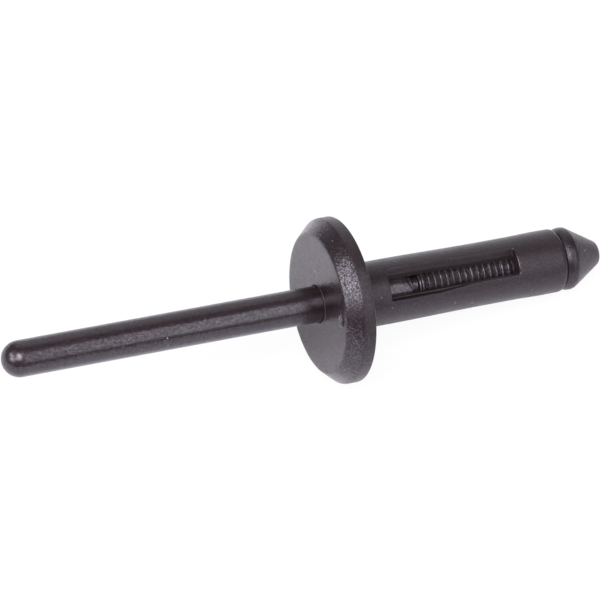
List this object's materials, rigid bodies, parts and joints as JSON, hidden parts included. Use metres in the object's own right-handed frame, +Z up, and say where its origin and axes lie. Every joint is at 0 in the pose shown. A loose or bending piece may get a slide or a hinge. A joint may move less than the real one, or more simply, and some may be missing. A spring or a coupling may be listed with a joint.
{
  "type": "plastic blind rivet",
  "caption": "Plastic blind rivet: wide bevelled head on a hollow barrel with two side windows, round a pulling mandrel with a rounded tail, break neck, ratchet teeth and cone nose.",
  "frame": {"origin": "on the ground plane, below the middle of the lying rivet's box", "axes": "+Z up; +X along the rivet's length on plan, from the tail towards the nose; the axis drops towards the nose by the resting tilt"},
  "size_m": [0.061, 0.0162, 0.0166],
  "materials": {
    "sleeve_nylon": "black nylon 6/6, satin barrel and head face, spark-eroded bevel and rim",
    "mandrel_nylon": "black nylon 6/6, semi-gloss as moulded"
  },
  "bodies": {
    "root": {"rivet_sleeve": "sleeve_nylon", "mandrel": "mandrel_nylon"}
  },
  "joints": []
}
